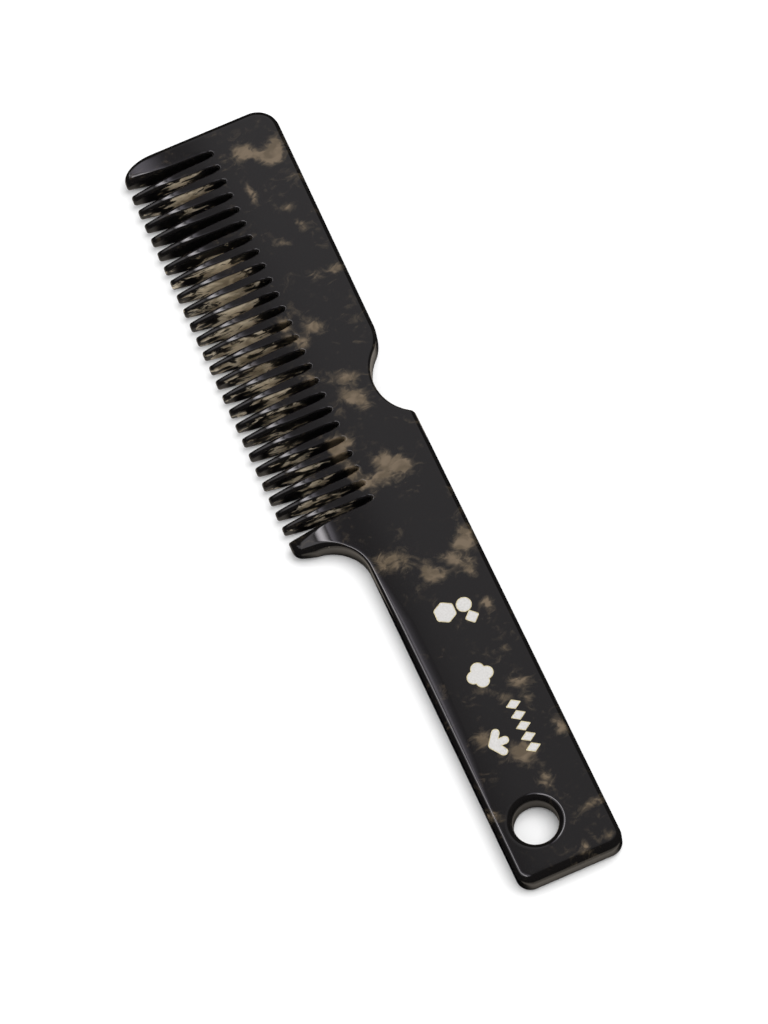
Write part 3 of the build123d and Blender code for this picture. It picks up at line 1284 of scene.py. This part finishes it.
CLOUDS = Clouds((
    Cloud(-71.0, 11.9, 2.2, 1.6, -20, 1.0), Cloud(-70.0, 9.9, 2.6, 1.6, 60, 0.9),
    Cloud(-72.5, 6.4, 2.2, 1.8, 70, 1.0), Cloud(-64.5, 4.4, 2.4, 0.8, 10, 0.8),
    Cloud(-58.5, 9.4, 1.6, 0.9, 80, 0.6), Cloud(-54.5, 10.2, 1.3, 0.8, 40, 0.65),
    Cloud(-52.0, 6.4, 1.5, 0.9, 70, 0.5), Cloud(-43.5, 12.4, 1.6, 1.2, 60, 0.7),
    Cloud(-44.0, 8.4, 1.8, 0.9, 60, 0.6), Cloud(-39.0, 7.4, 1.7, 0.9, 60, 0.5),
    Cloud(-34.0, 4.9, 2.0, 1.3, 60, 1.0), Cloud(-32.0, 1.4, 2.2, 1.6, 60, 0.9),
    Cloud(-36.0, -0.4, 2.4, 1.2, 0, 0.7), Cloud(-22.0, 6.4, 2.4, 1.4, 60, 0.9),
    Cloud(-18.0, 5.6, 2.6, 1.6, 40, 1.1), Cloud(-25.0, 0.2, 2.2, 1.1, 0, 0.7),
    Cloud(-10.5, 0.4, 2.2, 1.6, 70, 1.0), Cloud(-9.5, -1.2, 2.4, 1.3, 0, 0.8),
    Cloud(-3.0, 6.9, 3.8, 1.6, 55, 1.1), Cloud(-1.5, 4.2, 2.2, 1.4, 50, 0.9),
    Cloud(-1.0, 1.4, 2.0, 1.2, 60, 0.8), Cloud(-4.5, -0.2, 2.2, 1.3, 0, 0.8),
    Cloud(14.0, -0.6, 3.0, 2.0, 80, 1.0), Cloud(14.5, 13.4, 2.0, 1.2, 20, 0.9),
    Cloud(16.5, 11.9, 2.0, 1.4, 60, 0.9), Cloud(19.0, 9.4, 2.4, 1.6, 60, 0.9),
    Cloud(20.6, 5.4, 2.2, 1.4, 70, 1.0), Cloud(22.0, 11.4, 1.6, 1.2, 60, 0.6),
    Cloud(29.0, 11.9, 1.8, 1.1, 30, 0.8), Cloud(19.0, 4.4, 1.6, 1.2, 0, 0.6),
    Cloud(38.0, 11.4, 1.6, 0.8, 70, 0.6), Cloud(45.0, 10.9, 2.2, 1.3, 60, 0.8),
    Cloud(48.5, 10.9, 1.4, 1.1, 0, 0.6), Cloud(56.0, 14.2, 2.0, 1.0, 20, 0.8),
    Cloud(46.5, 6.9, 1.7, 1.0, 60, 0.6), Cloud(43.5, 4.4, 1.6, 1.0, 60, 0.5),
    Cloud(57.0, 6.4, 3.0, 1.7, 70, 0.9), Cloud(52.5, 0.9, 2.2, 1.5, 60, 0.9),
    Cloud(63.5, 7.9, 1.8, 1.5, 80, 0.9), Cloud(71.0, 12.8, 3.4, 0.9, 100, 0.7),
    Cloud(76.5, 11.0, 3.0, 0.5, 15, 0.6), Cloud(78.0, 8.9, 1.3, 1.0, 0, 0.7),
    Cloud(66.0, -3.1, 1.9, 1.1, 40, 0.8), Cloud(77.5, 13.6, 1.0, 1.2, 0, 0.6),
))

# Painted light and shade on the tooth walls: lit drifts slot by slot, a brighter band towards the
# tips and painted shade along the slot roots.
WALL_LIGHT_AND_DRIFTS = Clouds((
    Cloud(-38.0, -8.5, 46.0, 11.0, 0, 0.26),
    Cloud(-69.5, -6.0, 4.2, 5.5, 0, 0.75), Cloud(-60.5, -5.0, 2.5, 4.5, 0, -0.60),
    Cloud(-50.5, -6.5, 6.5, 6.0, 0, 0.85), Cloud(-38.0, -7.5, 8.5, 6.0, 0, 0.60),
    Cloud(-26.0, -7.0, 6.5, 5.5, 0, 0.55), Cloud(-12.0, -9.0, 8.0, 5.0, 0, 0.45),
    Cloud(-1.0, -7.0, 5.0, 6.0, 0, 0.50), Cloud(-40.0, -14.5, 34.0, 1.6, 0, 0.25),
    # painted shade along the slot roots
    Cloud(-36.0, 0.8, 34.0, 1.2, 0, -0.40),
))

INLAYS = Inlays((
    Disc("disc", (27.4, 7.75), 1.3),
    Polygon("lozenge", (30.1, 8.2), on_circle(1.237, *range(0, 360, 90)), 0.2),
    Polygon("shield", (27.4, 4.15), on_circle(2.0, *range(0, 360, 60)), 0.5),
    Rounds("petal", (40.9, 5.1), (
        *((*lobe, *lobe, 1.15) for lobe in on_circle(1.2, *range(0, 360, 90))),
        (0, 0, 0, 0, 1.2))),
    *(Polygon("diamond_row", (52.8 + 2.2 * step, 8.2),
              ((0.85, 0.0), (0.0, 1.25), (-0.85, 0.0), (0.0, -1.25)), 0.0)
      for step in range(-2, 3)),
    Rounds("fan", (53.9, 1.9), tuple(
        (0.0, 0.0, *leaf_end, 0.65) for leaf_end in on_circle(2.3, 35, 90, 145))),
))


def main() -> None:
    """Builds the comb and its studio."""
    logging.basicConfig(level=logging.INFO, format="%(name)s %(message)s")
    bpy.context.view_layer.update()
    View().build()
    Studio().build()

    acetate, metal, resin = Acetate().material(), Plate().material(), Resin().material()
    body = CombBody(CLOUDS, WALL_LIGHT_AND_DRIFTS).build(INLAYS.pockets(), INLAYS.sizes.pocket_depth)
    metals = {name + tail for name in INLAYS.names() for tail in ("_inlay", "_bond")}
    dress(body, acetate, Slot.ACETATE, *sorted(set(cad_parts) - metals))
    for name in INLAYS.names():
        dress(INLAYS.plate(name), metal, Slot.METAL, name + "_inlay")
        dress(INLAYS.resin(name), resin, Slot.RESIN, name + "_bond")


if __name__ == "__main__":
    main()
